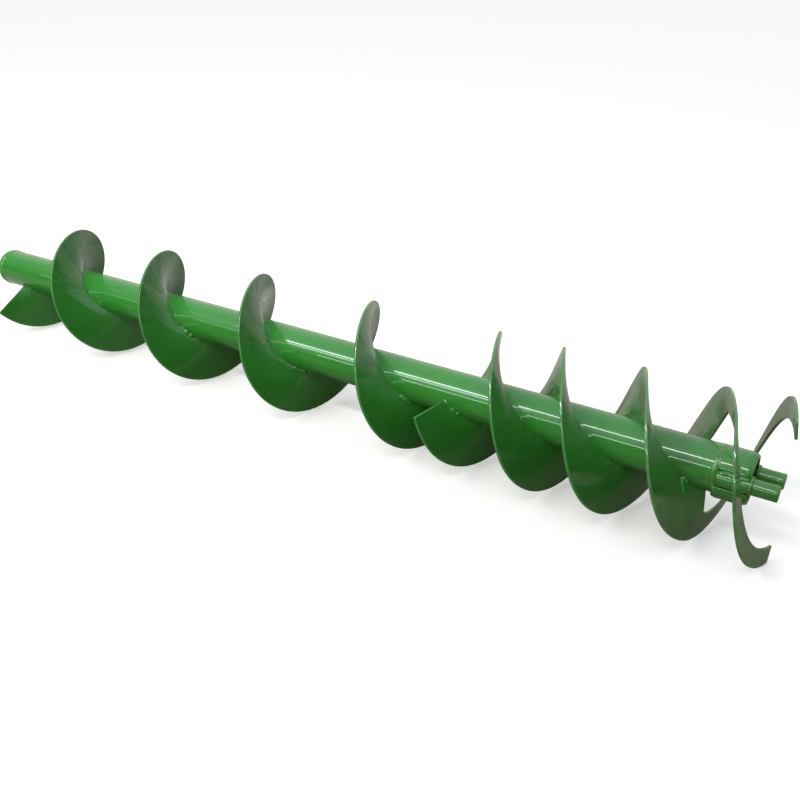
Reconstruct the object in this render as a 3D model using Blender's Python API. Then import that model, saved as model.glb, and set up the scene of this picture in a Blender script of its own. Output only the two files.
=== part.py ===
"""Machine-driven auger screw, welded from steel tube, screw flights and a two-bar drive coupling.

Metres, +Z up. The tube's axis lies along +X, from the plain end to the drive end, and the origin is the
centre of the plain end's flat face. Angles are in degrees about +X, from +Y towards +Z, so a flight whose
angle grows with X is right-handed. A flight's sweep is the angle turned since its start.
"""

import math

import bmesh
import bpy
from mathutils import Vector

# Clearance between pieces that touch
GAP = 0.0003

# Core tube and the parts that close it
TUBE_RADIUS = 0.03805
TUBE_WALL = 0.004
TUBE_SIDES = 48
CAP_THICKNESS = 0.008
CAP_CHAMFER = 0.0015
TUBE_LENGTH = 1.6045
TUBE_START = CAP_THICKNESS + GAP
TUBE_END = TUBE_START + TUBE_LENGTH
BASE_PLATE_THICKNESS = 0.006
WELD_RING_HEIGHT = 0.0016
WELD_RING_WIDTH = 0.0096
WELD_RING_SHARES = (0.6, 0.2, -0.2, -0.6)
DRIVE_RING_SHIFT = 0.001

# Screw flights. Each turn was pulled to its own pitch before it was welded on
FLIGHT_RADIUS = 0.1222
FLIGHT_THICKNESS = 0.0045
FLIGHT_LEAN = 0.010
MEAN_PITCH = 0.251
COLUMN_STEP = 6.0
BUTT_GAP = 0.35
FIRST_START_X = 0.0643
FIRST_START_ANGLE = 211.0
FIRST_PITCHES = (0.2504, 0.2492, 0.2507, 0.2543, 0.2525, 0.2486)
SECOND_START_X = 1.1511
SECOND_START_ANGLE = 176.0
SECOND_PITCHES = (0.2654, 0.2596)

# Open ribbon hooks at the flights' drive end: sweeps, then the ribbon's pitches, flare, widths and twist.
# The heel is extra width where the cut ends, which tapers away along the ribbon
RIBBON_STEP = 3.0
FLARE_POWER = 1.45
HEEL_RUN = 20.0
FIRST_RIBBON = {
    "start": 2160.0, "cut": 2194.0, "cut_lean": 14.0, "pitch_change": 2198.0, "end": 2415.6,
    "first_pitch": 0.251, "pitch": 0.1816, "flare": 0.0121,
    "first_width": 0.0341, "last_width": 0.0325, "heel": 0.012, "twist": 0.0,
}
SECOND_RIBBON = {
    "start": 570.0, "cut": 584.0, "cut_lean": 38.0, "pitch_change": 653.8, "end": 806.3,
    "first_pitch": 0.2628, "pitch": 0.194, "flare": 0.0072,
    "first_width": 0.0333, "last_width": 0.0305, "heel": 0.0, "twist": -0.093,
}

# Drive coupling: two round bars held between two half shells, a little off the tube's centre line
COUPLING_CENTRE = (-0.0035, -0.0013)
BAR_RADIUS = 0.0125
BAR_OFFSET = 0.0287
BAR_LENGTH = 0.0880
BAR_CHAMFER = 0.0015
BAR_SIDES = 32
BAR_LINE_ANGLE = -12.0
SHELL_RADIUS = 0.0362
SHELL_WALL = 0.008
SHELL_OFFSET = 0.0058
SHELL_OPENING = 13.5
SHELL_LENGTH = 0.047
SHELL_CHAMFER_RUN = 0.007
SHELL_CHAMFER_DROP = 0.0035
SHELL_SIDES = 22
COLLAR_LENGTH = 0.005
COLLAR_HEIGHT = 0.0032
COLLAR_PROFILE = ((0.0, 1.0), (0.4, 0.8), (1.0, 0.15), (1.0, 0.0))
COUPLING_START = TUBE_END + GAP + BASE_PLATE_THICKNESS + GAP

# Paint: colour, roughness, metallic
PAINTS = {
    "paint_tube": ((0.026, 0.223, 0.032), 0.22, 0.0),
    "paint_flight": ((0.024, 0.200, 0.030), 0.28, 0.0),
    "paint_coupling": ((0.028, 0.230, 0.036), 0.25, 0.0),
    "paint_weld": ((0.040, 0.210, 0.045), 0.38, 0.0),
}

# Where rounded faces turn into edges
SMOOTH_LIMIT = 35.0


def clear_scene():
    for obj in list(bpy.data.objects):
        bpy.data.objects.remove(obj, do_unlink=True)


def paint(name):
    """The named paint as a Principled material, made once."""
    material = bpy.data.materials.get(name)
    if material is None:
        colour, roughness, metallic = PAINTS[name]
        material = bpy.data.materials.new(name)
        material.use_nodes = True
        shader = material.node_tree.nodes["Principled BSDF"]
        shader.inputs["Base Color"].default_value = (*colour, 1.0)
        shader.inputs["Roughness"].default_value = roughness
        shader.inputs["Metallic"].default_value = metallic
    return material


def place(name, bm, paint_name, root):
    """Turns a finished bmesh into a named object under the root empty."""
    bmesh.ops.recalc_face_normals(bm, faces=bm.faces)
    mesh = bpy.data.meshes.new(name)
    bm.to_mesh(mesh)
    bm.free()
    mesh.materials.append(paint(paint_name))
    mesh.shade_smooth()
    mesh.set_sharp_from_angle(angle=math.radians(SMOOTH_LIMIT))
    obj = bpy.data.objects.new(name, mesh)
    bpy.context.scene.collection.objects.link(obj)
    obj.parent = root
    return obj


def polar(x, radius, angle, centre=(0.0, 0.0)):
    """The point at a radius and an angle about a line along +X through (y, z) = centre."""
    turn = math.radians(angle)
    return (x, centre[0] + radius * math.cos(turn), centre[1] + radius * math.sin(turn))


def skin(bm, sections, closed_ends=True, closed_loop=False):
    """Joins equal-length closed rings of points into one skin, with end caps or as a closed loop."""
    rings = [[bm.verts.new(point) for point in section] for section in sections]
    pairs = list(zip(rings, rings[1:]))
    if closed_loop:
        pairs.append((rings[-1], rings[0]))
    for ring, following in pairs:
        for i in range(len(ring)):
            j = (i + 1) % len(ring)
            bm.faces.new((ring[i], ring[j], following[j], following[i]))
    if closed_ends:
        bm.faces.new(rings[0])
        bm.faces.new(rings[-1])


def turned(profile, sides, centre=(0.0, 0.0)):
    """A solid of revolution about a line along X. The profile is a closed loop of (x, radius) pairs."""
    bm = bmesh.new()
    sections = []
    for i in range(sides):
        angle = 360.0 * i / sides
        sections.append([polar(x, radius, angle, centre) for x, radius in profile])
    skin(bm, sections, closed_ends=False, closed_loop=True)
    return bm


def disc(x_low, x_high, radius, sides, centre=(0.0, 0.0), chamfer_low=0.0, chamfer_high=0.0):
    """A solid round bar or disc along X, with an optional chamfer on either rim."""
    outline = [(x_low, radius - chamfer_low)]
    if chamfer_low:
        outline.append((x_low + chamfer_low, radius))
    if chamfer_high:
        outline.append((x_high - chamfer_high, radius))
    outline.append((x_high, radius - chamfer_high))
    bm = bmesh.new()
    sections = []
    for x, ring_radius in outline:
        sections.append([polar(x, ring_radius, 360.0 * i / sides, centre) for i in range(sides)])
    skin(bm, sections)
    return bm


def ribbon_share(flight, sweep):
    """How far along the ribbon a sweep is: 0 at its start, 1 at its end."""
    ribbon = flight["ribbon"]
    return max((sweep - ribbon["start"]) / (ribbon["end"] - ribbon["start"]), 0.0)


def lead_x(flight, sweep):
    """Axial position of a flight at a sweep: each turn's own pitch, then the ribbon's two pitches."""
    ribbon = flight["ribbon"]
    last_turn = len(flight["pitches"]) - 1
    x = flight["x"]
    for turn, pitch in enumerate(flight["pitches"]):
        low = 360.0 * turn
        high = ribbon["start"] if turn == last_turn else low + 360.0
        x += pitch * (min(max(sweep, low), high) - low) / 360.0
    x += ribbon["first_pitch"] * max(min(sweep, ribbon["pitch_change"]) - ribbon["start"], 0.0) / 360.0
    return x + ribbon["pitch"] * max(sweep - ribbon["pitch_change"], 0.0) / 360.0


def outer_radius(flight, sweep):
    """The rim's radius, which opens out along the ribbon."""
    return FLIGHT_RADIUS + flight["ribbon"]["flare"] * ribbon_share(flight, sweep) ** FLARE_POWER


def inner_radius(flight, sweep):
    """The inner edge's radius: on the tube, then along the cut, then the ribbon's own edge."""
    ribbon = flight["ribbon"]
    share = ribbon_share(flight, sweep)
    foot = TUBE_RADIUS + GAP
    width = ribbon["first_width"] + (ribbon["last_width"] - ribbon["first_width"]) * share
    past_cut = max(sweep - ribbon["cut"] - ribbon["cut_lean"], 0.0)
    width += ribbon["heel"] * math.exp(-past_cut / HEEL_RUN)
    edge = outer_radius(flight, sweep) - width
    cut_share = min(max((sweep - ribbon["cut"]) / ribbon["cut_lean"], 0.0), 1.0)
    return foot + (edge - foot) * cut_share


def plate_section(flight, sweep):
    """The four corners of the plate cut along a radius: inner and outer edge, both faces.

    The plate leans: its foot stands further along +X than its rim. A ribbon can twist as it goes.
    """
    angle = flight["angle"] + sweep
    cosine = math.cos(math.radians(angle))
    sine = math.sin(math.radians(angle))
    rise = MEAN_PITCH / (2.0 * math.pi)
    slope = FLIGHT_LEAN / (FLIGHT_RADIUS - TUBE_RADIUS)
    slope += flight["ribbon"]["twist"] * ribbon_share(flight, sweep)
    rim = outer_radius(flight, sweep)
    corners = []
    for radius, sides in ((inner_radius(flight, sweep), (-1, 1)), (rim, (1, -1))):
        x = lead_x(flight, sweep) + slope * (rim - radius)
        normal = Vector((
            radius,
            slope * radius * cosine + rise * sine,
            slope * radius * sine - rise * cosine,
        )).normalized()
        middle = Vector(polar(x, radius, angle))
        corners.extend(middle + normal * (0.5 * FLIGHT_THICKNESS * side) for side in sides)
    return corners


def sweeps_between(low, high, step, extra=()):
    """Evenly spaced sweeps from low to high, with some exact values added."""
    count = max(1, math.ceil((high - low) / step))
    values = {low + (high - low) * i / count for i in range(count + 1)}
    values.update(value for value in extra if low < value < high)
    return sorted(values)


def flight_section(name, flight, low, high, root, step=COLUMN_STEP, extra=()):
    """One sector of screw flight between two sweeps, short of its neighbours by the butt gap."""
    start = low + BUTT_GAP / 2.0 if low > 0.0 else low
    end = high - BUTT_GAP / 2.0 if high < flight["ribbon"]["end"] else high
    bm = bmesh.new()
    skin(bm, [plate_section(flight, sweep) for sweep in sweeps_between(start, end, step, extra)])
    return place(name, bm, "paint_flight", root)


def ribbon_section(name, flight, root):
    """The open ribbon hook that ends a flight, with extra columns along its cut."""
    ribbon = flight["ribbon"]
    marks = (ribbon["cut"], ribbon["cut"] + ribbon["cut_lean"])
    return flight_section(name, flight, ribbon["start"], ribbon["end"], root, RIBBON_STEP, marks)


def first_flight(root):
    flight = {
        "x": FIRST_START_X,
        "angle": FIRST_START_ANGLE,
        "pitches": FIRST_PITCHES,
        "ribbon": FIRST_RIBBON,
    }
    for turn in range(len(FIRST_PITCHES)):
        name = f"first_flight_turn_{turn + 1}"
        flight_section(name, flight, 360.0 * turn, 360.0 * (turn + 1), root)
    ribbon_section("first_flight_hook", flight, root)


def second_flight(root):
    flight = {
        "x": SECOND_START_X,
        "angle": SECOND_START_ANGLE,
        "pitches": SECOND_PITCHES,
        "ribbon": SECOND_RIBBON,
    }
    flight_section("second_flight_turn_1", flight, 0.0, 360.0, root)
    flight_section("second_flight_turn_2", flight, 360.0, SECOND_RIBBON["start"], root)
    ribbon_section("second_flight_hook", flight, root)


def core_tube(root):
    bore = TUBE_RADIUS - TUBE_WALL
    profile = [(TUBE_START, TUBE_RADIUS), (TUBE_END, TUBE_RADIUS), (TUBE_END, bore), (TUBE_START, bore)]
    place("core_tube", turned(profile, TUBE_SIDES), "paint_tube", root)


def end_cap(root):
    bm = disc(0.0, CAP_THICKNESS, TUBE_RADIUS, TUBE_SIDES, chamfer_low=CAP_CHAMFER)
    place("plain_end_cap", bm, "paint_tube", root)


def weld_ring(name, middle, root):
    """A low weld bead around a butt joint in the tube, in section an arc with a flat foot."""
    foot = TUBE_RADIUS + GAP
    half = WELD_RING_WIDTH / 2.0
    profile = [(middle - half, foot), (middle + half, foot)]
    for share in WELD_RING_SHARES:
        height = WELD_RING_HEIGHT * (1.0 - share * share)
        profile.append((middle + half * share, foot + height))
    place(name, turned(profile, TUBE_SIDES), "paint_weld", root)


def base_plate(root):
    low = TUBE_END + GAP
    bm = disc(low, low + BASE_PLATE_THICKNESS, TUBE_RADIUS, TUBE_SIDES)
    place("coupling_base_plate", bm, "paint_coupling", root)


def bar_centre(side):
    """(y, z) of a drive bar's centre line: side is 1 for the rear bar, -1 for the front bar."""
    return polar(0.0, side * BAR_OFFSET, BAR_LINE_ANGLE, COUPLING_CENTRE)[1:]


def drive_bar(name, side, root):
    high = COUPLING_START + BAR_LENGTH
    bm = disc(COUPLING_START, high, BAR_RADIUS, BAR_SIDES, bar_centre(side), chamfer_high=BAR_CHAMFER)
    place(name, bm, "paint_coupling", root)


def weld_collar(name, side, root):
    """The weld metal around a bar where it leaves the half shells."""
    low = COUPLING_START + SHELL_LENGTH + GAP
    bore = BAR_RADIUS + GAP
    profile = [(low, bore)]
    profile.extend((low + COLLAR_LENGTH * along, bore + COLLAR_HEIGHT * up) for along, up in COLLAR_PROFILE)
    place(name, turned(profile, BAR_SIDES, bar_centre(side)), "paint_weld", root)


def half_shell(name, side, root):
    """Half of a split pipe, set away from the bars' line: side is 1 for the upper, -1 for the lower."""
    across = BAR_LINE_ANGLE + 90.0 * side
    centre = polar(0.0, SHELL_OFFSET, across, COUPLING_CENTRE)[1:]
    low = COUPLING_START
    high = COUPLING_START + SHELL_LENGTH
    bore = SHELL_RADIUS - SHELL_WALL
    profile = [
        (low, SHELL_RADIUS),
        (high - SHELL_CHAMFER_RUN, SHELL_RADIUS),
        (high, SHELL_RADIUS - SHELL_CHAMFER_DROP),
        (high, bore),
        (low, bore),
    ]
    span = 180.0 - 2.0 * SHELL_OPENING
    sections = []
    for i in range(SHELL_SIDES + 1):
        angle = across - span / 2.0 + span * i / SHELL_SIDES
        sections.append([polar(x, radius, angle, centre) for x, radius in profile])
    bm = bmesh.new()
    skin(bm, sections)
    place(name, bm, "paint_coupling", root)


def drive_coupling(root):
    base_plate(root)
    half_shell("upper_half_shell", 1, root)
    half_shell("lower_half_shell", -1, root)
    drive_bar("rear_drive_bar", 1, root)
    drive_bar("front_drive_bar", -1, root)
    weld_collar("rear_bar_weld_collar", 1, root)
    weld_collar("front_bar_weld_collar", -1, root)


def build_auger():
    clear_scene()
    root = bpy.data.objects.new("auger_root", None)
    bpy.context.scene.collection.objects.link(root)
    core_tube(root)
    end_cap(root)
    weld_ring("plain_end_weld_ring", TUBE_START, root)
    weld_ring("drive_end_weld_ring", TUBE_END + DRIVE_RING_SHIFT, root)
    first_flight(root)
    second_flight(root)
    drive_coupling(root)


build_auger()
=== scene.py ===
"""Looks for the painted auger screw: fine plate, tube and bar meshes, weld beads, enamel, a soft studio.

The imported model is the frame. Every piece here is built from its CAD node's box or from the screw's driving
dimensions below, in metres, in the frame's own axes: the tube lies along +X, angles are in degrees about +X
from +Y towards +Z, and a flight's sweep is the angle turned since its start.
"""

import math
import random

import bmesh
import bpy
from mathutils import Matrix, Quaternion, Vector, noise


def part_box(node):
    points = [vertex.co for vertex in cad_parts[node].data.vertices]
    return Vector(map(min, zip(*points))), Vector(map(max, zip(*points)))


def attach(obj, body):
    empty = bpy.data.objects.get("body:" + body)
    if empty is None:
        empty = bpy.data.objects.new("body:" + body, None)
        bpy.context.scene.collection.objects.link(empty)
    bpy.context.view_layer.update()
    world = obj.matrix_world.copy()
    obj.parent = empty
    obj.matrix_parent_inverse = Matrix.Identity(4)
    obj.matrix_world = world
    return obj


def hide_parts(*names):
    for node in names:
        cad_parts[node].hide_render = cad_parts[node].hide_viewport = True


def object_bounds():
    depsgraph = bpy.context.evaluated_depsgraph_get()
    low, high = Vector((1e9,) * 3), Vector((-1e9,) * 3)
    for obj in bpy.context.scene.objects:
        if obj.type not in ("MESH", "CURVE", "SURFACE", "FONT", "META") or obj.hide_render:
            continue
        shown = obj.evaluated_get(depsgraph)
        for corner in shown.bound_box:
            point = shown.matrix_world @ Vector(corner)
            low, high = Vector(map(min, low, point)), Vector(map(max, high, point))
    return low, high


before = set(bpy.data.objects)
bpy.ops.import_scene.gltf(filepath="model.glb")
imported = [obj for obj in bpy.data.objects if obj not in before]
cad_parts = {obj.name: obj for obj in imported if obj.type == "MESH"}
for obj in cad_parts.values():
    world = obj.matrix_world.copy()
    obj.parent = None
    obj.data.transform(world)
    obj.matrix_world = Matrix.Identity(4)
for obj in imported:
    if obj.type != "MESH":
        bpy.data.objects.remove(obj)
cad_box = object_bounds()

BODY = "root"

# Tube, from its node's box
TUBE_LOW, TUBE_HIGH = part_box("core_tube")
TUBE_RADIUS = TUBE_HIGH.z
TUBE_WALL = 0.004

# Screw flights, as the frame has them. A flight starts at an x and an angle, and each of its turns has its
# own pitch. Its ribbon is the last part, which leaves the tube as an open hook: start, cut, pitch_change and
# end are sweeps, and the cut that frees it from the tube slants over cut_lean degrees
FLIGHT_RADIUS = 0.1222
FLIGHT_THICKNESS = 0.0045
FLIGHT_LEAN = 0.010
MEAN_PITCH = 0.251
FLARE_POWER = 1.45
HEEL_RUN = 20.0
FIRST_FLIGHT = {
    "x": 0.0643,
    "angle": 211.0,
    "pitches": (0.2504, 0.2492, 0.2507, 0.2543, 0.2525, 0.2486),
    "ribbon": {
        "start": 2160.0, "cut": 2194.0, "cut_lean": 14.0, "pitch_change": 2198.0, "end": 2415.6,
        "first_pitch": 0.251, "pitch": 0.1816, "flare": 0.0121,
        "first_width": 0.0341, "last_width": 0.0325, "heel": 0.012, "twist": 0.0,
    },
}
SECOND_FLIGHT = {
    "x": 1.1511,
    "angle": 176.0,
    "pitches": (0.2654, 0.2596),
    "ribbon": {
        "start": 570.0, "cut": 584.0, "cut_lean": 38.0, "pitch_change": 653.8, "end": 806.3,
        "first_pitch": 0.2628, "pitch": 0.194, "flare": 0.0072,
        "first_width": 0.0333, "last_width": 0.0305, "heel": 0.0, "twist": -0.093,
    },
}

# Drive coupling, as the frame has it. The centre is (y, z), and the bars lie at BAR_LINE_ANGLE from it
COUPLING_CENTRE = (-0.0035, -0.0013)
BAR_LINE_ANGLE = -12.0
SHELL_RADIUS = 0.0362
SHELL_WALL = 0.008
SHELL_OFFSET = 0.0058
SHELL_OPENING = 13.5
SHELL_CHAMFER_RUN = 0.007
SHELL_CHAMFER_DROP = 0.0035

# Fine flight meshes. A plate's foot sinks into the tube's skin, as its welds would hold it
FOOT_DEPTH = 0.0008
COLUMN_STEP = 2.0
RIM_FILLET = 0.0010
CORNER_STEPS = 3
SHARP_ANGLE = 50.0
END_STEPS = 4
FACE_STATIONS = (0.0022, 0.0050, 0.0100)
FACE_DIVISIONS = 5
FILLET_KEEP = 0.999
INSET_KEEP = 0.998
DENT_DEPTH = 0.00028
DENT_FREQUENCIES = (9.0, 24.0)
DENT_FADE = 0.03
LOCAL_DENT_SHARE = 0.5
STREAK_RADIUS = 0.08

# Paler plate edges: thin paint there, and a painted highlight along the rim, palest at the outer +X corner
# and none at the outer -X one. Their share at the four corners, and on the faces beside them
EDGE_WEAR_AND_RIM_HIGHLIGHT = (1.0, 0.6, 0.3, 0.0)
FACE_EDGE_PALE = 0.4
FACE_EDGE_PALE_RUN = 0.002

# Weld beads. The foot of a flight runs about 1.5 tube radii for each radian that it turns
BEAD_STEP = 0.0007
BEAD_SIDES = 12
BEAD_FLATTEN = 0.85
BEAD_ROUGH = 0.2
NOISE_OFFSET = 50.0
RIPPLE_PITCH = 0.0034
RIPPLE_DEPTH = 0.10
LUMP_FREQUENCY = 160.0
WANDER_FREQUENCY = 90.0
WANDER = 0.35
END_TAPER = 1.2
END_SHARE = 0.02
FOOT_RUN = 1.5
STITCH_LEG = 0.0014
STITCH_ROUGH = 0.7
STITCH_SPREAD = (0.85, 1.15)
JOINT_SINK = 0.25
SEAM_RADIUS = 0.0050
SEAM_FLATTEN = 0.8
SEAM_MARGIN = 0.001
UPPER_SEAM = (0.78, 0.47)
LOWER_SEAM = (0.67, 0.38)
HEEL_WELD_RADIUS = 0.0042
HEEL_WELD_BACK = 0.0015
HEEL_WELD_DEPTH = 0.0037
HEEL_WELD_LEAN = -0.2
HEEL_WELD_HALF_SPAN = 75.0
RING_WIDEN = 1.1
PLAIN_RING_HEIGHT = 0.0012
DRIVE_RING_HEIGHT = 0.0007
COLLAR_RADIUS = 0.0028
COLLAR_OUT = 0.0006
COLLAR_FORWARD = 0.0012

# Stitch welds as (sweep, length, bead radius), and the weld across the first flight's last joint as
# (low sweep, high sweep, reach, bead radius)
FIRST_STITCHES = (
    (6.0, 0.026, 0.0038), (713.0, 0.030, 0.0038), (1104.0, 0.028, 0.0038), (1443.0, 0.026, 0.0038),
    (2151.0, 0.013, 0.0040),
)
SECOND_STITCHES = ((5.0, 0.014, 0.0034), (22.0, 0.030, 0.0024))
FIRST_JOINT = (2144.0, 2162.0, 0.021, 0.0030)

# Turned pieces and half shells
TUBE_SIDES = 160
TUBE_STATION = 0.009
TUBE_WAVE = 0.00005
TUBE_WAVE_SIZE = 0.08
DISC_SIDES = 128
DISC_WAVE_SIZE = 0.02
CAP_FILLET = 0.0015
CAP_WAVE = 0.00003
BASE_FILLET = 0.0008
BASE_WAVE = 0.00008
BAR_SIDES = 72
BAR_STATION = 0.004
BAR_CHAMFER = 0.0013
BAR_SHOULDER = (0.0004, 0.0001)
BAR_RIM = (0.0003, 0.0002)
BAR_WAVE = 0.00012
BAR_WAVE_SIZE = 0.012
SHELL_FILLET = 0.0012
SHELL_PROFILE_FILLETS = (0.0004, 0.0005, 0.0006, 0.0009, 0.0004)
SHELL_STATION = 0.004
SHELL_EDGE_STEPS = 4
SHELL_STEP = 3.0
SHELL_WAVE = 0.00015
SHELL_WAVE_SIZE = 0.014
SHELL_SHARP_ANGLE = 60.0

# Enamels: the colour and its deeper mottle, and how each differs from the plain enamel
ENAMELS = {
    "tube_enamel": {
        "colour": (0.030, 0.240, 0.024), "deep": (0.026, 0.212, 0.021),
        "peel": 0.5, "film": (0.01, 0.03), "wave": 0.00012, "smudge": 0.6,
    },
    "flight_enamel": {
        "colour": (0.026, 0.182, 0.019), "deep": (0.022, 0.158, 0.016),
        "film": (0.015, 0.045), "painted_reflection": 0.9, "smudge": 0.7,
    },
    "coupling_enamel": {
        "colour": (0.030, 0.210, 0.022), "deep": (0.026, 0.165, 0.018),
        "wave": 0.0003, "dirt": 0.25,
    },
    "weld_enamel": {
        "colour": (0.060, 0.230, 0.030), "deep": (0.045, 0.150, 0.022),
        "film": (0.14, 0.30), "wave": 0.0006, "dirt": 0.7,
    },
    "stitch_enamel": {
        "colour": (0.040, 0.270, 0.028), "deep": (0.030, 0.200, 0.020),
        "film": (0.02, 0.06), "wave": 0.0004, "dirt": 0.15,
    },
}

# Paint patterns. A noise is (waves per metre, detail, roughness). A ramp is (from, to) and gives 0 to 1, or
# (from, to, first, last) and gives first to last
BROAD_NOISE = (7.0, 3.0)
FINE_NOISE = (85.0, 4.0, 0.6)
MOTTLE_RAMP = (0.75, 1.25)
PALE_GAIN = 1.3
PALE_LIFT = 0.045
PALE_RAMP = (0.3, 0.7, 0.5, 1.0)
ROUGHNESS_RAMP = (0.0, 1.0, 0.255, 0.425)
FILM_RAMP = (0.35, 0.75)
BASE_SPECULAR = 0.2
WAVE_NOISE = (22.0,)
PEEL_NOISE = (330.0,)
PEEL_DEPTH = 0.000012

# Olive smudges near the coupling's welds, and soot on the welds. A run is (start, end), back from the tube's
# drive end
SMUDGE_NOISE = (38.0, 5.0, 0.65)
SMUDGE_RAMP = (0.42, 0.60)
SMUDGE_RUN = (0.13, 0.02)
SMUDGE_COLOUR = (0.052, 0.100, 0.032)
SOOT_NOISE = (120.0, 5.0, 0.7)
SOOT_RAMP = (0.5, 0.66)
SOOT_COLOUR = (0.075, 0.085, 0.035)

# Painted reflection on the flights: grey streaks on their upper faces near the tube. Also a grey cast on
# the hooks' -X faces. The plate's own (radius, way along, offset) is stretched before its noise
REFLECTION_AND_CAST_GREY = (0.25, 0.29, 0.21)
REFLECTION_AND_CAST_FILM = 0.35
STREAK_STRETCH = (14.0, 75.0, 40.0)
STREAK_NOISE = (1.0, 4.0, 0.6)
STREAK_RAMP = (0.40, 0.62)
CLOUD_STRETCH = (11.0, 9.0, 40.0)
CLOUD_NOISE = (1.0, 3.0, 0.55)
CLOUD_RAMP = (0.40, 0.58)
GRAIN_RAMP = (0.3, 0.6)
FOOT_RAMP = (0.04, 0.085, 1.3, 0.25)
HEIGHT_RAMP = (0.010, 0.055, 0.10, 1.0)
GREY_CAST_RUN = (0.22, 0.08)
GREY_CAST_RAMP = (0.35, 0.65, 0.12, 0.42)
BACK_FACE_RAMP = (0.001, -0.001)

# Camera: what it looks at, and from where
CAMERA_TARGET = (1.0512, 0.0, -0.0478)
CAMERA_DISTANCE = 1.6230
CAMERA_AZIMUTH = 31.14
CAMERA_ELEVATION = 29.906
CAMERA_LENS = 40.05
CAMERA_SENSOR = 36.0
CAMERA_ROLL = -0.086
AWAY = (-0.5, 0.866, 0.0)

# Studio light, as radiance where 1 is white. A level way is rated by how far it points away from the camera
WHITE = (1.0, 1.0, 1.0)
OVERHEAD = (0.93, 0.98, 1.08)
OVERHEAD_EDGE = (0.15, 0.75)
FAR_END_EDGE = (-0.80, -0.60)
FAR_END_SHARE = 0.35
SIDE_DARK = (0.09, 0.09, 0.08)
SIDE_BRIGHT = (0.92, 0.88, 0.78)
WALL_EDGE = (0.42, 0.48)
WALL_RISE = (0.42, 1.0)
WALL_STEP = 0.35

# Long soft lights parallel to the tube, as (elevation, width, low x, high x, radiance, colour)
STRIP_DISTANCE = 2.6
STRIPS = {
    "upper_strip": (55.0, 0.17, -1.3, 1.75, 19.0, WHITE),
    "middle_strip": (43.0, 0.12, -1.0, 0.4, 9.0, WHITE),
    "window_panel": (49.5, 0.95, -1.0, 0.45, 3.2, (0.80, 0.93, 1.0)),
    "far_strip": (30.0, 0.25, -2.9, -1.1, 2.0, WHITE),
    "lower_strip": (23.5, 0.12, -0.75, 1.7, 12.0, WHITE),
}

# Floor: its colour to the eye, and what the paint mirrors
FLOOR_REACH = 15.0
FLOOR_SEEN = (0.95, 0.92, 0.86)
FLOOR_GLOW = 0.20
FLOOR_GRAIN_NOISE = (60.0, 3.0)
FLOOR_GRAIN_RAMP = (0.2, 0.8, 0.97, 1.0)
FLOOR_DARK = (0.30, 0.27, 0.21)
FLOOR_BRIGHT = (0.62, 0.60, 0.53)
FLOOR_BRIGHT_RANGE = (-0.6, 0.4)
FLOOR_PATCH_NOISE = (3.5, 3.0)
FLOOR_PATCH_RAMP = (0.42, 0.58, 0.5, 1.0)
FLOOR_ROUGHNESS = 0.9

random_source = random.Random(7)


# ---------------------------------------------------------------- meshes

def new_piece(name, node_name, points, faces, material, edge_pales=None, places=None, sharp=SHARP_ANGLE):
    """A smooth-shaded mesh that rides on the auger, and replaces a CAD node unless the name is None."""
    mesh = bpy.data.meshes.new(name)
    mesh.from_pydata(points, [], faces)
    face_outward(mesh)
    if edge_pales is not None:
        mesh.attributes.new("edge", "FLOAT", "POINT").data.foreach_set("value", edge_pales)
    if places is not None:
        flat = [value for place in places for value in place]
        mesh.attributes.new("plate", "FLOAT_VECTOR", "POINT").data.foreach_set("vector", flat)
    mesh.materials.append(material)
    mesh.shade_smooth()
    mesh.set_sharp_from_angle(angle=math.radians(sharp))
    mesh.update()
    piece = bpy.data.objects.new(name, mesh)
    bpy.context.scene.collection.objects.link(piece)
    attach(piece, BODY)
    if node_name:
        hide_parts(node_name)


def face_outward(mesh):
    """Turns every closed skin of the mesh so that its faces look out. The points keep their order."""
    skin = bmesh.new()
    skin.from_mesh(mesh)
    bmesh.ops.recalc_face_normals(skin, faces=skin.faces[:])
    skin.to_mesh(mesh)
    skin.free()


def skin_faces(ring_count, ring_size, loop=False):
    """Faces that join rings of points into one skin, with end caps unless the skin is a loop."""
    faces = []
    for i in range(ring_count if loop else ring_count - 1):
        a = i * ring_size
        b = (i + 1) % ring_count * ring_size
        for j in range(ring_size):
            k = (j + 1) % ring_size
            faces.append((a + j, a + k, b + k, b + j))
    if not loop:
        last = (ring_count - 1) * ring_size
        faces.append(tuple(reversed(range(ring_size))))
        faces.append(tuple(last + j for j in range(ring_size)))
    return faces


def rounded_loop(corners, fillets, steps=4):
    """A closed outline in a plane whose corners are arcs, with a fillet radius for each corner."""
    outline = []
    count = len(corners)
    for i in range(count):
        corner = Vector(corners[i])
        to_before = (Vector(corners[i - 1]) - corner).normalized()
        to_after = (Vector(corners[(i + 1) % count]) - corner).normalized()
        half = to_before.angle(to_after) / 2.0
        reach = fillets[i] / math.tan(half)
        centre = corner + (to_before + to_after).normalized() * (fillets[i] / math.sin(half))
        first = corner + to_before * reach - centre
        last = corner + to_after * reach - centre
        for k in range(steps + 1):
            outline.append(centre + first.slerp(last, k / steps).normalized() * fillets[i])
    return [(p.x, p.y) for p in outline]


def polar(x, radius, angle, centre=(0.0, 0.0)):
    """The point at an angle and a radius about a line along X, whose centre is (y, z)."""
    turn = math.radians(angle)
    return (x, centre[0] + radius * math.cos(turn), centre[1] + radius * math.sin(turn))


def densified(profile, spacing):
    """The same closed (x, radius) outline with no stretch longer than the spacing."""
    result = []
    for i, (ax, ar) in enumerate(profile):
        bx, br = profile[(i + 1) % len(profile)]
        parts = max(1, math.ceil(math.hypot(bx - ax, br - ar) / spacing))
        result.extend((ax + (bx - ax) * k / parts, ar + (br - ar) * k / parts) for k in range(parts))
    return result


def wavy(x, radius, angle, depth, size):
    """A small radial unevenness, the same at the same place each run."""
    return depth * noise.noise(Vector(polar(x, radius, angle)) * (1.0 / size))


# ---------------------------------------------------------------- screw flights

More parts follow.
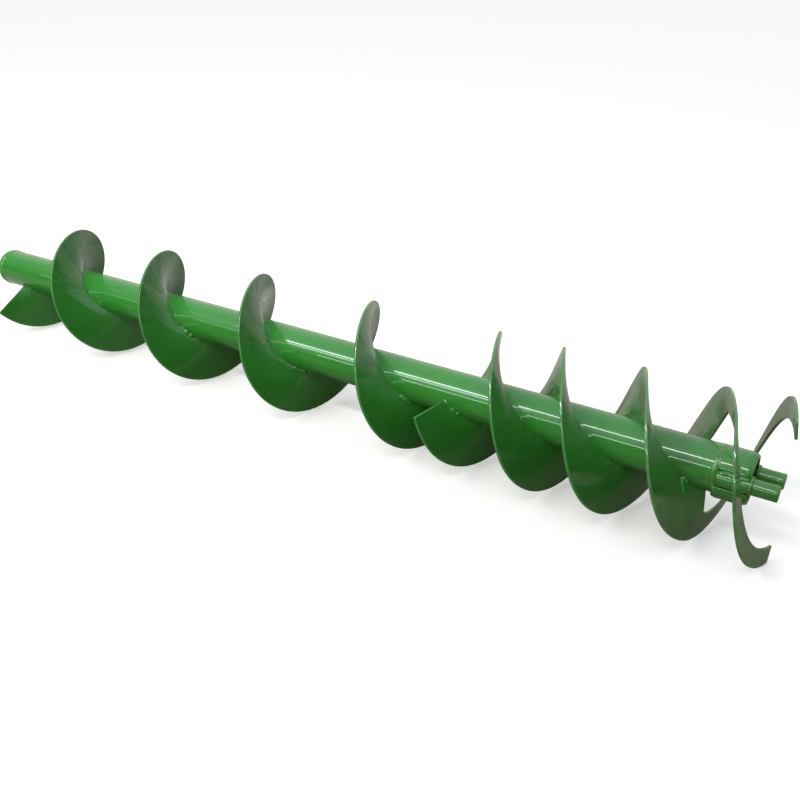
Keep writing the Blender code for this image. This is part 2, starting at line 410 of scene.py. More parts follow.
def lead_x(flight, sweep):
    """Axial position of a flight at a sweep: each turn has its own pitch, and the ribbon has two."""
    ribbon = flight["ribbon"]
    x = flight["x"]
    for turn, pitch in enumerate(flight["pitches"]):
        low = 360.0 * turn
        high = ribbon["start"] if turn == len(flight["pitches"]) - 1 else low + 360.0
        x += pitch * (min(max(sweep, low), high) - low) / 360.0
    x += ribbon["first_pitch"] * max(min(sweep, ribbon["pitch_change"]) - ribbon["start"], 0.0) / 360.0
    return x + ribbon["pitch"] * max(sweep - ribbon["pitch_change"], 0.0) / 360.0


def ribbon_share(flight, sweep):
    """How far along the ribbon a sweep is: 0 up to its start, 1 at its end."""
    ribbon = flight["ribbon"]
    return max((sweep - ribbon["start"]) / (ribbon["end"] - ribbon["start"]), 0.0)


def outer_radius(flight, sweep):
    """The plate's outer radius, which flares a little along the ribbon."""
    return FLIGHT_RADIUS + flight["ribbon"]["flare"] * ribbon_share(flight, sweep) ** FLARE_POWER


def inner_radius(flight, sweep):
    """The plate's foot on the tube, and past the slanted cut the ribbon's free inner edge."""
    ribbon = flight["ribbon"]
    foot = TUBE_RADIUS - FOOT_DEPTH
    widening = ribbon["last_width"] - ribbon["first_width"]
    width = ribbon["first_width"] + widening * ribbon_share(flight, sweep)
    past_cut = max(sweep - ribbon["cut"] - ribbon["cut_lean"], 0.0)
    width += ribbon["heel"] * math.exp(-past_cut / HEEL_RUN)
    edge = outer_radius(flight, sweep) - width
    cut_share = min(max((sweep - ribbon["cut"]) / ribbon["cut_lean"], 0.0), 1.0)
    return foot + (edge - foot) * cut_share


def plate_point(flight, sweep, radius, offset):
    """A point on the plate at a radius, moved off its middle surface towards +X by the offset."""
    angle = math.radians(flight["angle"] + sweep)
    cosine, sine = math.cos(angle), math.sin(angle)
    rise = MEAN_PITCH / (2.0 * math.pi)
    slope = FLIGHT_LEAN / (FLIGHT_RADIUS - TUBE_RADIUS)
    slope += flight["ribbon"]["twist"] * ribbon_share(flight, sweep)
    normal = Vector((radius, slope * radius * cosine + rise * sine, slope * radius * sine - rise * cosine))
    x = lead_x(flight, sweep) + slope * (outer_radius(flight, sweep) - radius)
    return Vector((x, radius * cosine, radius * sine)) + normal.normalized() * offset


def plate_loop(inner, outer, half, fillet):
    """The plate's section as (radius, offset, edge paleness) points: a thin rounded rectangle with face
    stations.
    """
    loop = []

    def corner(radius_centre, offset_centre, start, edge_pale):
        for k in range(CORNER_STEPS + 1):
            turn = math.radians(start + 90.0 * k / CORNER_STEPS)
            radius, offset = radius_centre + fillet * math.cos(turn), offset_centre + fillet * math.sin(turn)
            loop.append((radius, offset, edge_pale))

    def face(offset, outward):
        places = [(inner + d, FACE_EDGE_PALE * math.exp(-d / FACE_EDGE_PALE_RUN)) for d in FACE_STATIONS]
        low, high = inner + FACE_STATIONS[-1], outer - FACE_STATIONS[-1]
        places += [(low + (high - low) * k / FACE_DIVISIONS, 0.0) for k in range(1, FACE_DIVISIONS)]
        places += [(outer - d, FACE_EDGE_PALE * math.exp(-d / FACE_EDGE_PALE_RUN)) for d in reversed(FACE_STATIONS)]
        if not outward:
            places.reverse()
        loop.extend((radius, offset, edge_pale) for radius, edge_pale in places)

    # The outer +X corner is palest: thin paint, with a painted highlight along the rim
    corner(outer - fillet, half - fillet, 0.0, EDGE_WEAR_AND_RIM_HIGHLIGHT[0])
    face(half, outward=False)
    corner(inner + fillet, half - fillet, 90.0, EDGE_WEAR_AND_RIM_HIGHLIGHT[1])
    corner(inner + fillet, fillet - half, 180.0, EDGE_WEAR_AND_RIM_HIGHLIGHT[2])
    face(-half, outward=True)
    corner(outer - fillet, fillet - half, 270.0, EDGE_WEAR_AND_RIM_HIGHLIGHT[3])
    return loop


def plate_columns(flight, low, high):
    """(sweep, inset) pairs along a section: the inset rounds off an end that is not butted to a neighbour."""
    ribbon = flight["ribbon"]
    reach = math.degrees(RIM_FILLET / FLIGHT_RADIUS)
    first = low + reach if low == 0.0 else low
    last = high - reach if high == ribbon["end"] else high
    count = math.ceil((last - first) / COLUMN_STEP)
    columns = [(first + (last - first) * k / count, 0.0) for k in range(count + 1)]
    for mark in (ribbon["cut"], ribbon["cut"] + ribbon["cut_lean"]):
        if first < mark < last:
            columns.append((mark, 0.0))
    for k in range(END_STEPS):
        turn = math.radians(90.0 * k / END_STEPS)
        inset, along = RIM_FILLET * (1.0 - math.sin(turn)), reach * (1.0 - math.cos(turn))
        if low == 0.0:
            columns.append((low + along, inset))
        if high == ribbon["end"]:
            columns.append((high - along, inset))
    return sorted(columns)


def dent(flight, sweep, radius):
    """Slight unevenness left by pulling the plate to pitch, fading to nothing at the tube."""
    place = plate_point(flight, sweep, radius, 0.0)
    fade = min((radius - TUBE_RADIUS) / DENT_FADE, 1.0)
    broad, local = (noise.noise(place * frequency) for frequency in DENT_FREQUENCIES)
    return DENT_DEPTH * fade * (broad + LOCAL_DENT_SHARE * local)


def flight_piece(node_name, flight, low, high, material):
    """One section of flight. Points keep their edge paleness, and their (radius, way along, offset) for the
    grey patterns.
    """
    points, edge_pales, places = [], [], []
    columns = plate_columns(flight, low, high)
    for sweep, inset in columns:
        inner, outer = inner_radius(flight, sweep) + inset, outer_radius(flight, sweep) - inset
        fillet = RIM_FILLET * FILLET_KEEP - inset * INSET_KEEP
        for radius, offset, edge_pale in plate_loop(inner, outer, FLIGHT_THICKNESS / 2.0 - inset, fillet):
            points.append(plate_point(flight, sweep, radius, offset + dent(flight, sweep, radius)))
            edge_pales.append(1.0 if inset else edge_pale)
            places.append((radius, math.radians(sweep) * STREAK_RADIUS + flight["x"], offset))
    faces = skin_faces(len(columns), len(points) // len(columns))
    new_piece(f"{node_name}_plate", node_name, points, faces, material, edge_pales, places)


def flights(material):
    """Both flights: one piece for each turn up to the ribbon, then the ribbon's hook."""
    for label, flight in (("first", FIRST_FLIGHT), ("second", SECOND_FLIGHT)):
        ribbon = flight["ribbon"]
        for turn in range(len(flight["pitches"])):
            high = min(360.0 * (turn + 1), ribbon["start"])
            flight_piece(f"{label}_flight_turn_{turn + 1}", flight, 360.0 * turn, high, material)
        flight_piece(f"{label}_flight_hook", flight, ribbon["start"], ribbon["end"], material)


# ---------------------------------------------------------------- weld beads

def bead_mesh(path, lifts, radius, loop=False, flatten=BEAD_FLATTEN, rough=BEAD_ROUGH):
    """Points and faces of a rippled weld bead along a path. A point's lift is its outward direction."""
    count = len(path)
    lengths = [0.0]
    for a, b in zip(path, path[1:]):
        lengths.append(lengths[-1] + (b - a).length)
    total = lengths[-1]
    points = []
    phase = random_source.uniform(0.0, 1.0)
    seed = Vector([random_source.uniform(-NOISE_OFFSET, NOISE_OFFSET) for _ in range(3)])
    for i in range(count):
        before = path[i - 1 if i or loop else 0]
        after = path[(i + 1) % count if loop or i + 1 < count else i]
        tangent = (after - before).normalized()
        up = (lifts[i] - tangent * lifts[i].dot(tangent)).normalized()
        side = tangent.cross(up)
        ripple = (lengths[i] / RIPPLE_PITCH + phase) % 1.0
        swell = 1.0 - RIPPLE_DEPTH * ripple ** 2.0 + rough * noise.noise(path[i] * LUMP_FREQUENCY + seed)
        if not loop:
            near_end = min(lengths[i], total - lengths[i]) / (radius * END_TAPER)
            swell *= math.sqrt(max(1.0 - (1.0 - min(near_end, 1.0)) ** 2, END_SHARE))
        wander = side * (WANDER * radius * noise.noise(path[i] * WANDER_FREQUENCY - seed))
        for k in range(BEAD_SIDES):
            turn = 2.0 * math.pi * k / BEAD_SIDES
            offset = side * math.cos(turn) + up * (flatten * math.sin(turn))
            points.append(path[i] + wander + offset * (radius * swell))
    return points, skin_faces(count, BEAD_SIDES, loop)


def ring_bead(name, node_name, x, radius, bead_radius, flatten, material, centre=(0.0, 0.0)):
    """A closed bead around a line along X."""
    count = math.ceil(2.0 * math.pi * radius / BEAD_STEP)
    angles = [360.0 * i / count for i in range(count)]
    path = [Vector(polar(x, radius, angle, centre)) for angle in angles]
    lifts = [Vector(polar(0.0, 1.0, angle)) for angle in angles]
    points, faces = bead_mesh(path, lifts, bead_radius, loop=True, flatten=flatten)
    new_piece(name, node_name, points, faces, material)


def ring_weld(label, height, material):
    """The low weld around the tube at one of its ends."""
    node_name = f"{label}_weld_ring"
    low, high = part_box(node_name)
    middle, half = (low.x + high.x) / 2.0, (high.x - low.x) / 2.0
    ring_bead(f"{label}_weld_bead", node_name, middle, TUBE_RADIUS - height, half * RING_WIDEN,
              2.0 * height / half, material)


def beads_piece(name, beads, material, flatten=BEAD_FLATTEN, rough=BEAD_ROUGH):
    """Several open beads, each a (path, lifts, radius), as one piece that replaces nothing."""
    points, faces = [], []
    for path, lifts, radius in beads:
        bead_points, bead_faces = bead_mesh(path, lifts, radius, flatten=flatten, rough=rough)
        first = len(points)
        points.extend(bead_points)
        faces.extend(tuple(first + i for i in face) for face in bead_faces)
    new_piece(name, None, points, faces, material)


def stitch(flight, sweep, length, size):
    """A fillet bead along a flight's foot, on its +X side."""
    half = math.degrees(length / 2.0 / (TUBE_RADIUS * FOOT_RUN))
    count = math.ceil(length / BEAD_STEP)
    path, lifts = [], []
    for i in range(count + 1):
        at = sweep - half + 2.0 * half * i / count
        middle = plate_point(flight, at, TUBE_RADIUS, 0.0)
        corner = plate_point(flight, at, TUBE_RADIUS + STITCH_LEG, FLIGHT_THICKNESS / 2.0 + STITCH_LEG)
        outward = Vector(polar(0.0, 1.0, flight["angle"] + at))
        path.append(corner)
        lifts.append((outward + (corner - middle).normalized()).normalized())
    return path, lifts, size


def joint_weld(flight, low, high, reach, size):
    """A bead that runs out across the plate's +X face, where two sections were joined."""
    count = math.ceil(reach / BEAD_STEP)
    path, lifts = [], []
    for i in range(count + 1):
        sweep, radius = low + (high - low) * i / count, TUBE_RADIUS + reach * i / count
        middle = plate_point(flight, sweep, radius, 0.0)
        path.append(plate_point(flight, sweep, radius, FLIGHT_THICKNESS / 2.0 - JOINT_SINK * size))
        lifts.append((path[-1] - middle).normalized())
    return path, lifts, size


def stitches(name, flight, places, material, joint=None):
    """All of a flight's stitch welds as one piece, with the weld across a joint if there is one."""
    beads = [stitch(flight, *place) for place in places]
    if joint:
        beads.append(joint_weld(flight, *joint))
    # A generator, so that each bead's size is drawn just before the bead's own random draws
    uneven = ((path, lifts, size * random_source.uniform(*STITCH_SPREAD)) for path, lifts, size in beads)
    beads_piece(name, uneven, material, rough=STITCH_ROUGH)


# ---------------------------------------------------------------- tube and coupling

def stations(low, high, spacing):
    """Evenly spread values from low to high, no further apart than the spacing."""
    count = max(1, math.ceil((high - low) / spacing))
    return [low + (high - low) * k / count for k in range(count + 1)]


def core_tube(material):
    """The tube, a ring of (x, radius) outlines with the slight waviness of drawn pipe."""
    low, high = TUBE_LOW.x, TUBE_HIGH.x
    bore = TUBE_RADIUS - TUBE_WALL
    profile = [(x, TUBE_RADIUS) for x in stations(low, high, TUBE_STATION)] + [(high, bore), (low, bore)]
    points = []
    for i in range(TUBE_SIDES):
        angle = 360.0 * i / TUBE_SIDES
        for x, radius in profile:
            points.append(polar(x, radius + wavy(x, radius, angle, TUBE_WAVE, TUBE_WAVE_SIZE), angle))
    faces = skin_faces(TUBE_SIDES, len(profile), loop=True)
    new_piece("core_tube_pipe", "core_tube", points, faces, material)


def solid_round(name, node_name, profile, sides, material, wave, wave_size, centre=(0.0, 0.0)):
    """A solid of revolution about a line along X. The profile's (x, radius) points run from end to end."""
    points = []
    for x, radius in profile:
        for i in range(sides):
            angle = 360.0 * i / sides
            points.append(polar(x, radius + wavy(x, radius, angle, wave, wave_size), angle, centre))
    new_piece(name, node_name, points, skin_faces(len(profile), sides), material)


def rounded_end(x, radius, fillet, outward, steps=5):
    """Profile points for a rounded rim at x: outward is 1 for the high end, -1 for the low end."""
    made = []
    for k in range(steps + 1):
        turn = math.radians(90.0 * k / steps)
        back, drop = fillet * (1.0 - math.sin(turn)), fillet * (1.0 - math.cos(turn))
        made.append((x - outward * back, radius - drop))
    return made if outward > 0 else made[::-1]


def face_rings(x, radius, wanted=4):
    """Flat rings that carry a disc's face in from its rim."""
    return [(x, radius * (1.0 - k / (wanted + 1.0))) for k in range(1, wanted + 1)]


def end_cap(material):
    """The cap that closes the plain end, flush with the tube, its rim rounded."""
    low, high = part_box("plain_end_cap")
    profile = face_rings(low.x, TUBE_RADIUS - CAP_FILLET)[::-1]
    profile += rounded_end(low.x, TUBE_RADIUS, CAP_FILLET, -1)
    profile += [(high.x, TUBE_RADIUS)]
    solid_round("plain_end_cap_disc", "plain_end_cap", profile, DISC_SIDES, material, CAP_WAVE,
                DISC_WAVE_SIZE)


def base_plate(material):
    """The disc that closes the drive end and carries the half shells and bars."""
    low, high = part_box("coupling_base_plate")
    profile = [(low.x, TUBE_RADIUS)] + rounded_end(high.x, TUBE_RADIUS, BASE_FILLET, 1)
    solid_round("coupling_base_plate_disc", "coupling_base_plate", profile, DISC_SIDES, material,
                BASE_WAVE, DISC_WAVE_SIZE)


def bar_section(node_name):
    """Centre (y, z) and radius of a round node that lies along X."""
    low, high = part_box(node_name)
    return ((low.y + high.y) / 2.0, (low.z + high.z) / 2.0), (high.z - low.z) / 2.0


def drive_bar(node_name, material):
    """A drive bar: hot-rolled round bar, slightly uneven, sawn and chamfered at its end."""
    low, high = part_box(node_name)
    centre, radius = bar_section(node_name)
    chamfer_low = high.x - BAR_CHAMFER
    shoulder_back, shoulder_drop = BAR_SHOULDER
    rim_back, rim_drop = BAR_RIM
    profile = [(x, radius) for x in stations(low.x, chamfer_low - shoulder_back, BAR_STATION)]
    profile += [(chamfer_low, radius - shoulder_drop), (high.x - rim_back, radius - BAR_CHAMFER + rim_back)]
    profile += [(high.x, radius - BAR_CHAMFER - rim_drop)] + face_rings(high.x, radius - BAR_CHAMFER)
    solid_round(f"{node_name}_rod", node_name, profile, BAR_SIDES, material, BAR_WAVE,
                BAR_WAVE_SIZE, centre)


def shell_profile(low, high, inset):
    """Half shell section as a closed (x, radius) outline with softened corners, drawn in by the inset."""
    outer, bore = SHELL_RADIUS - inset, SHELL_RADIUS - SHELL_WALL + inset
    corners = [
        (low + inset, outer),
        (high - SHELL_CHAMFER_RUN, outer),
        (high - inset, SHELL_RADIUS - SHELL_CHAMFER_DROP - inset),
        (high - inset, bore),
        (low + inset, bore),
    ]
    return densified(rounded_loop(corners, SHELL_PROFILE_FILLETS), SHELL_STATION)


def half_shell(node_name, side, material):
    """Half of a split pipe with a bevelled free end; its long edges are rounded where it was cut."""
    low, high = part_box(node_name)
    across = BAR_LINE_ANGLE + 90.0 * side
    centre = polar(0.0, SHELL_OFFSET, across, COUPLING_CENTRE)[1:]
    half_span = 90.0 - SHELL_OPENING
    reach = math.degrees(SHELL_FILLET / SHELL_RADIUS)
    columns = []
    for k in range(SHELL_EDGE_STEPS + 1):
        turn = math.radians(90.0 * k / SHELL_EDGE_STEPS)
        columns.append((-half_span + reach * (1.0 - math.cos(turn)), SHELL_FILLET * (1.0 - math.sin(turn))))
    mirrored = [(-angle, inset) for angle, inset in reversed(columns)]
    middle = [(angle, 0.0) for angle in stations(columns[-1][0], mirrored[0][0], SHELL_STEP)[1:-1]]
    columns += middle + mirrored
    # The outline drawn in furthest can have a point fewer than the others, so all keep its count
    size = len(shell_profile(low.x, high.x, columns[0][1]))
    points = []
    for angle, inset in columns:
        for x, radius in shell_profile(low.x, high.x, inset)[:size]:
            uneven = wavy(x, radius, across + angle, SHELL_WAVE, SHELL_WAVE_SIZE)
            points.append(polar(x, radius + uneven, across + angle, centre))
    new_piece(f"{node_name}_cover", node_name, points, skin_faces(len(columns), size), material,
              sharp=SHELL_SHARP_ANGLE)


def straight_path(low_x, high_x, y, z):
    """Points along X, a bead's step apart."""
    count = math.ceil((high_x - low_x) / BEAD_STEP)
    return [Vector((low_x + (high_x - low_x) * k / count, y, z)) for k in range(count + 1)]


def shell_seams(name, material):
    """Welds that fill the grooves between the half shells' long edges and the drive bars."""
    low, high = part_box("upper_half_shell")
    beads = []
    for bar, out in (("rear_drive_bar", BAR_LINE_ANGLE), ("front_drive_bar", BAR_LINE_ANGLE + 180.0)):
        centre, radius = bar_section(bar)
        for shell_side, (rise, reach) in ((1, UPPER_SEAM), (-1, LOWER_SEAM)):
            up = BAR_LINE_ANGLE + 90.0 * shell_side
            lean = Vector(polar(0.0, rise, up)) + Vector(polar(0.0, reach, out))
            y, z = centre[0] + lean.y * radius, centre[1] + lean.z * radius
            path = straight_path(low.x + SEAM_MARGIN, high.x - SEAM_MARGIN, y, z)
            beads.append((path, [lean.normalized()] * len(path), SEAM_RADIUS))
    beads_piece(name, beads, material, flatten=SEAM_FLATTEN)


def shell_heel_welds(name, material):
    """Fillet welds that fill the step between the tube's end and the half shells' back ends."""
    low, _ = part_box("upper_half_shell")
    half_span = HEEL_WELD_HALF_SPAN
    count = math.ceil(math.radians(2.0 * half_span) * SHELL_RADIUS / BEAD_STEP)
    beads = []
    for side in (1, -1):
        across = BAR_LINE_ANGLE + 90.0 * side
        centre = polar(0.0, SHELL_OFFSET, across, COUPLING_CENTRE)[1:]
        angles = [across - half_span + 2.0 * half_span * k / count for k in range(count + 1)]
        x, radius = low.x - HEEL_WELD_BACK, SHELL_RADIUS - HEEL_WELD_DEPTH
        path = [Vector(polar(x, radius, angle, centre)) for angle in angles]
        lifts = [Vector(polar(HEEL_WELD_LEAN, 1.0, angle)).normalized() for angle in angles]
        beads.append((path, lifts, HEEL_WELD_RADIUS))
    beads_piece(name, beads, material, flatten=SEAM_FLATTEN)


def bar_collar(label, material):
    """The weld around a drive bar where it leaves the half shells."""
    node_name = f"{label}_bar_weld_collar"
    low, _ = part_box(node_name)
    centre, _ = bar_section(node_name)
    _, radius = bar_section(f"{label}_drive_bar")
    ring_bead(f"{label}_bar_weld_bead", node_name, low.x + COLLAR_FORWARD, radius + COLLAR_OUT, COLLAR_RADIUS,
              BEAD_FLATTEN, material, centre)


def coupling(material, weld):
    """The drive coupling: base plate, half shells, bars and their welds."""
    base_plate(material)
    half_shell("upper_half_shell", 1, material)
    half_shell("lower_half_shell", -1, material)
    drive_bar("rear_drive_bar", material)
    drive_bar("front_drive_bar", material)
    bar_collar("rear", weld)
    bar_collar("front", weld)
    shell_seams("half_shell_seam_welds", material)
    shell_heel_welds("half_shell_heel_welds", weld)


# ---------------------------------------------------------------- paint

def node(tree, kind, inputs=None, **settings):
    """A new shader node, with its inputs linked or set by name or index."""
    made = tree.nodes.new(kind)
    for key, value in settings.items():
        setattr(made, key, value)
    for key, value in (inputs or {}).items():
        connect(tree, value, made.inputs[key])
    return made


def connect(tree, value, socket):
    """Links a socket's output to an input, or sets the input's own value."""
    if isinstance(value, bpy.types.NodeSocket):
        tree.links.new(value, socket)
    elif isinstance(value, tuple) and len(value) == 3 and socket.type == "RGBA":
        socket.default_value = (*value, 1.0)
    else:
        socket.default_value = value


def mixed(tree, share, first, second):
    """A colour between two. A mix node's colour inputs are 6 and 7, and its colour output is 2."""
    return node(tree, "ShaderNodeMix", {0: share, 6: first, 7: second}, data_type="RGBA").outputs[2]


def maths(tree, operation, first, second, third=0.0):
    """One step of arithmetic. Only the multiply-and-add step has a third value."""
    return node(tree, "ShaderNodeMath", {0: first, 1: second, 2: third}, operation=operation).outputs[0]


def product(tree, *values):
    """The product of two or more values."""
    result = values[0]
    for value in values[1:]:
        result = maths(tree, "MULTIPLY", result, value)
    return result


def ramped(tree, value, low, high, to_low=0.0, to_high=1.0, smooth=False):
    """The value taken from one range to another, and held at that range's ends."""
    settings = {"interpolation_type": "SMOOTHSTEP"} if smooth else {}
    inputs = {"Value": value, "From Min": low, "From Max": high, "To Min": to_low, "To Max": to_high}
    return node(tree, "ShaderNodeMapRange", inputs, **settings).outputs[0]


def noise_value(tree, place, scale, detail=2.0, roughness=0.5):
    inputs = {"Vector": place, "Scale": scale, "Detail": detail, "Roughness": roughness}
    return node(tree, "ShaderNodeTexNoise", inputs).outputs["Fac"]


def scaled(tree, place, factors):
    return node(tree, "ShaderNodeMapping", {"Vector": place, "Scale": factors}).outputs[0]


def near_drive_end(tree, place, run):
    """Rises from 0 to 1 over a run, given as distances back from the tube's drive end."""
    along = node(tree, "ShaderNodeSeparateXYZ", {"Vector": place}).outputs[0]
    return ramped(tree, along, TUBE_HIGH.x - run[0], TUBE_HIGH.x - run[1], smooth=True)


def reflection_streaks_and_grey_cast(tree, place, fine):
    """Painted reflection as grey streaks on upper faces near the tube; a grey cast on the hooks' back faces.
    """
    plate = node(tree, "ShaderNodeAttribute", attribute_name="plate").outputs["Vector"]
    radius, _, offset = node(tree, "ShaderNodeSeparateXYZ", {"Vector": plate}).outputs
    height = node(tree, "ShaderNodeSeparateXYZ", {"Vector": place}).outputs[2]
    # Grey streaks on the upper faces near the tube are a painted reflection
    streaks = noise_value(tree, scaled(tree, plate, STREAK_STRETCH), *STREAK_NOISE)
    clouds = noise_value(tree, scaled(tree, plate, CLOUD_STRETCH), *CLOUD_NOISE)
    near_foot = product(tree, ramped(tree, radius, *FOOT_RAMP), ramped(tree, height, *HEIGHT_RAMP))
    broken = product(tree, ramped(tree, streaks, *STREAK_RAMP), ramped(tree, clouds, *CLOUD_RAMP))
    streaked = product(tree, broken, near_foot, ramped(tree, fine, *GRAIN_RAMP))
    # A grey cast on the -X faces of the flights near the drive end
    looks_back = ramped(tree, offset, *BACK_FACE_RAMP)
    hooks = near_drive_end(tree, place, GREY_CAST_RUN)
    grey_cast = product(tree, hooks, looks_back, ramped(tree, clouds, *GREY_CAST_RAMP))
    return maths(tree, "MAXIMUM", streaked, grey_cast)


def patches(tree, place, pattern, ramp):
    """A noise pattern, cut to patches by a ramp."""
    return ramped(tree, noise_value(tree, place, *pattern), *ramp)


def relief(tree, place, wave, peel):
    """The paint's surface: orange peel over a soft waviness, as a normal."""
    soft = node(tree, "ShaderNodeBump", {"Height": noise_value(tree, place, *WAVE_NOISE), "Distance": wave})
    inputs = {"Height": noise_value(tree, place, *PEEL_NOISE), "Distance": PEEL_DEPTH, "Strength": peel}
    inputs["Normal"] = soft.outputs[0]
    return node(tree, "ShaderNodeBump", inputs).outputs[0]


def enamel(name, colour, deep, peel=0.6, film=(0.02, 0.07), wave=0.00022, painted_reflection=0.0, smudge=0.0, dirt=0.0):
    """Glossy enamel: mottled colour and relief, paler edges of thin paint with a painted rim highlight,
    painted grey reflection, a grey cast, smudges and soot on top.
    """
    material = bpy.data.materials.new(name)
    material.use_nodes = True
    tree = material.node_tree
    shader = tree.nodes["Principled BSDF"]
    place = node(tree, "ShaderNodeTexCoord").outputs["Object"]
    broad = noise_value(tree, place, *BROAD_NOISE)
    fine = noise_value(tree, place, *FINE_NOISE)
    edge = node(tree, "ShaderNodeAttribute", attribute_name="edge").outputs["Fac"]
    pale = tuple(c * PALE_GAIN + PALE_LIFT for c in colour)
    base = mixed(tree, ramped(tree, maths(tree, "ADD", broad, fine), *MOTTLE_RAMP), deep, colour)
    # Paler edges: thin paint, with a painted highlight along the flights' outer +X rims
    base = mixed(tree, product(tree, edge, ramped(tree, fine, *PALE_RAMP)), base, pale)
    film_roughness = ramped(tree, broad, *FILM_RAMP, *film)
    # Grey painted in: a painted reflection near the tube, and a grey cast near the drive end; the coat is
    # rougher there
    if painted_reflection:
        reflection_and_cast = product(tree, reflection_streaks_and_grey_cast(tree, place, fine), painted_reflection)
        base = mixed(tree, reflection_and_cast, base, REFLECTION_AND_CAST_GREY)
        film_roughness = maths(tree, "MULTIPLY_ADD", reflection_and_cast, REFLECTION_AND_CAST_FILM, film_roughness)
    if smudge:
        clouds = patches(tree, place, SMUDGE_NOISE, SMUDGE_RAMP)
        stain = product(tree, clouds, near_drive_end(tree, place, SMUDGE_RUN), smudge)
        base = mixed(tree, stain, base, SMUDGE_COLOUR)
    if dirt:
        soot = product(tree, patches(tree, place, SOOT_NOISE, SOOT_RAMP), dirt)
        base = mixed(tree, soot, base, SOOT_COLOUR)
    surface = relief(tree, place, wave, peel)
    settings = {
        "Base Color": base,
        "Roughness": ramped(tree, fine, *ROUGHNESS_RAMP),
        "Specular IOR Level": BASE_SPECULAR,
        "Coat Weight": 1.0,
        "Coat Roughness": film_roughness,
        "Normal": surface,
        "Coat Normal": surface,
    }
    for socket, value in settings.items():
        connect(tree, value, shader.inputs[socket])
    return material


# ---------------------------------------------------------------- studio

def away_from_camera(tree, way):
    """How far a place or a direction lies away from the camera, along the level."""
    return node(tree, "ShaderNodeVectorMath", {0: way, 1: AWAY}, operation="DOT_PRODUCT").outputs["Value"]


def toned(tree, value, colour):
    """A colour made darker by a share."""
    return node(tree, "ShaderNodeHueSaturation", {"Value": value, "Color": colour}).outputs[0]


def floor_material():
    """Pale floor to the eye; in reflections it is duller and patchy, and darker in front of the auger."""
    material = bpy.data.materials.new("studio_floor")
    material.use_nodes = True
    tree = material.node_tree
    shader = tree.nodes["Principled BSDF"]
    place = node(tree, "ShaderNodeTexCoord").outputs["Object"]
    shown = toned(tree, patches(tree, place, FLOOR_GRAIN_NOISE, FLOOR_GRAIN_RAMP), FLOOR_SEEN)
    far = ramped(tree, away_from_camera(tree, place), *FLOOR_BRIGHT_RANGE, smooth=True)
    mirrored = mixed(tree, far, FLOOR_DARK, FLOOR_BRIGHT)
    mirrored = toned(tree, patches(tree, place, FLOOR_PATCH_NOISE, FLOOR_PATCH_RAMP), mirrored)
    seen = node(tree, "ShaderNodeLightPath").outputs["Is Camera Ray"]
    settings = {
        "Base Color": mixed(tree, seen, mirrored, shown),
        "Emission Color": WHITE,
        "Emission Strength": maths(tree, "MULTIPLY", seen, FLOOR_GLOW),
        "Roughness": FLOOR_ROUGHNESS,
        "Specular IOR Level": 0.0,
    }
    for socket, value in settings.items():
        connect(tree, value, shader.inputs[socket])
    return material


def studio_world():
    """Soft overhead light, weaker beyond the plain end. Walls are bright behind the auger, dim elsewhere."""
    world = bpy.data.worlds.new("studio")
    bpy.context.scene.world = world
    world.use_nodes = True
    tree = world.node_tree
    way = node(tree, "ShaderNodeTexCoord").outputs["Generated"]
    along, _, up = node(tree, "ShaderNodeSeparateXYZ", {"Vector": way}).outputs
    behind = away_from_camera(tree, way)
    wall = maths(tree, "ADD", ramped(tree, behind, *WALL_EDGE, 0.0, WALL_STEP),
                 ramped(tree, behind, *WALL_RISE, 0.0, 1.0 - WALL_STEP))
    sides = mixed(tree, wall, SIDE_DARK, SIDE_BRIGHT)
    above = ramped(tree, up, *OVERHEAD_EDGE, smooth=True)
    nearer = ramped(tree, along, *FAR_END_EDGE, FAR_END_SHARE, 1.0)
    light = mixed(tree, product(tree, above, nearer), sides, OVERHEAD)
    seen = node(tree, "ShaderNodeLightPath").outputs["Is Camera Ray"]
    background = tree.nodes["Background"]
    connect(tree, mixed(tree, seen, light, WHITE), background.inputs["Color"])
    background.inputs["Strength"].default_value = 1.0


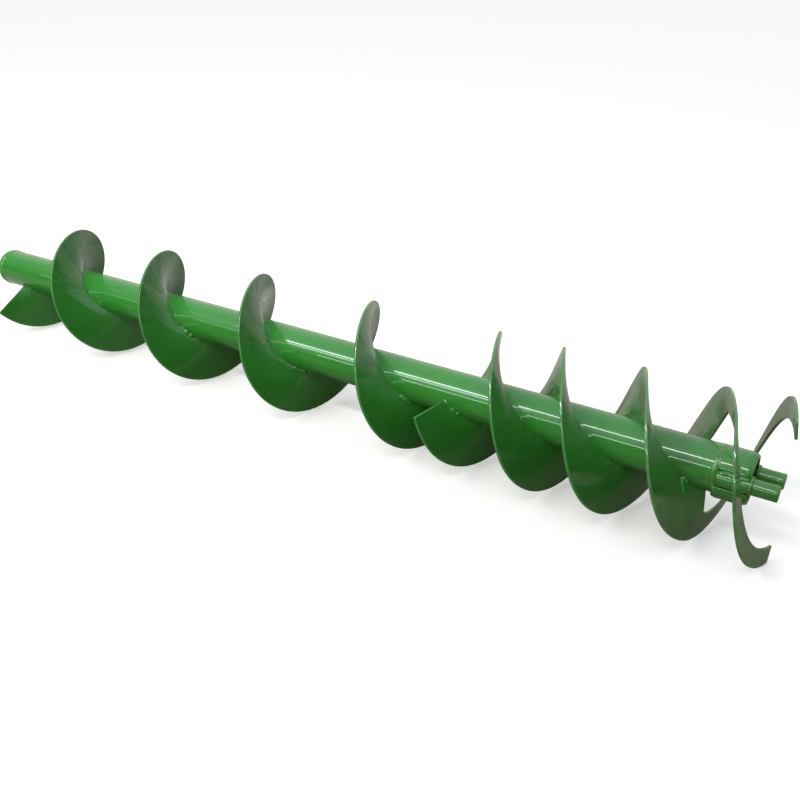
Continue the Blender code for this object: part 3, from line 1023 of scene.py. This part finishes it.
def strip_light(name, elevation, width, x_low, x_high, radiance, colour):
    """A long soft light parallel to the tube, on the camera's side, at an elevation seen from the tube."""
    lamp = bpy.data.lights.new(name, "AREA")
    lamp.shape = "RECTANGLE"
    lamp.size, lamp.size_y = x_high - x_low, width
    lamp.energy = radiance * math.pi * lamp.size * lamp.size_y
    lamp.color = colour
    turn = math.radians(elevation)
    strip = bpy.data.objects.new(name, lamp)
    strip.location = Vector(((x_low + x_high) / 2.0, -STRIP_DISTANCE * math.cos(turn),
                             STRIP_DISTANCE * math.sin(turn)))
    strip.rotation_euler = (math.pi / 2.0 - turn, 0.0, 0.0)
    strip.visible_camera = False
    bpy.context.scene.collection.objects.link(strip)


def floor(lowest):
    """A wide floor that the auger lies on."""
    mesh = bpy.data.meshes.new("studio_floor")
    corners = [(x * FLOOR_REACH, y * FLOOR_REACH, lowest) for x, y in ((-1, -1), (1, -1), (1, 1), (-1, 1))]
    mesh.from_pydata(corners, [], [(0, 1, 2, 3)])
    mesh.materials.append(floor_material())
    made = bpy.data.objects.new("studio_floor", mesh)
    bpy.context.scene.collection.objects.link(made)


def camera():
    """The camera that took the photo, as fitted to it."""
    data = bpy.data.cameras.new("camera")
    data.sensor_width = CAMERA_SENSOR
    data.lens = CAMERA_LENS
    turn, rise = math.radians(CAMERA_AZIMUTH), math.radians(CAMERA_ELEVATION)
    back = Vector((math.sin(turn) * math.cos(rise), -math.cos(turn) * math.cos(rise), math.sin(rise)))
    made = bpy.data.objects.new("camera", data)
    made.location = Vector(CAMERA_TARGET) + back * CAMERA_DISTANCE
    roll = Quaternion((0.0, 0.0, 1.0), math.radians(CAMERA_ROLL))
    made.rotation_euler = ((-back).to_track_quat("-Z", "Y") @ roll).to_euler()
    bpy.context.scene.collection.objects.link(made)
    bpy.context.scene.camera = made


def studio(lowest):
    """Floor, surroundings, lights and camera, with colours shown as they are."""
    floor(lowest)
    studio_world()
    for name, strip in STRIPS.items():
        strip_light(name, *strip)
    camera()
    bpy.context.scene.view_settings.view_transform = "Standard"
    bpy.context.scene.view_settings.look = "None"


# ---------------------------------------------------------------- assembly

def build():
    """The whole auger, then the studio around it."""
    tube, plate, steel, weld, blob = [enamel(name, **looks) for name, looks in ENAMELS.items()]
    core_tube(tube)
    end_cap(tube)
    ring_weld("plain_end", PLAIN_RING_HEIGHT, blob)
    ring_weld("drive_end", DRIVE_RING_HEIGHT, weld)
    flights(plate)
    stitches("first_flight_stitch_welds", FIRST_FLIGHT, FIRST_STITCHES, blob, FIRST_JOINT)
    stitches("second_flight_stitch_welds", SECOND_FLIGHT, SECOND_STITCHES, blob)
    coupling(steel, weld)
    studio(cad_box[0].z)


build()
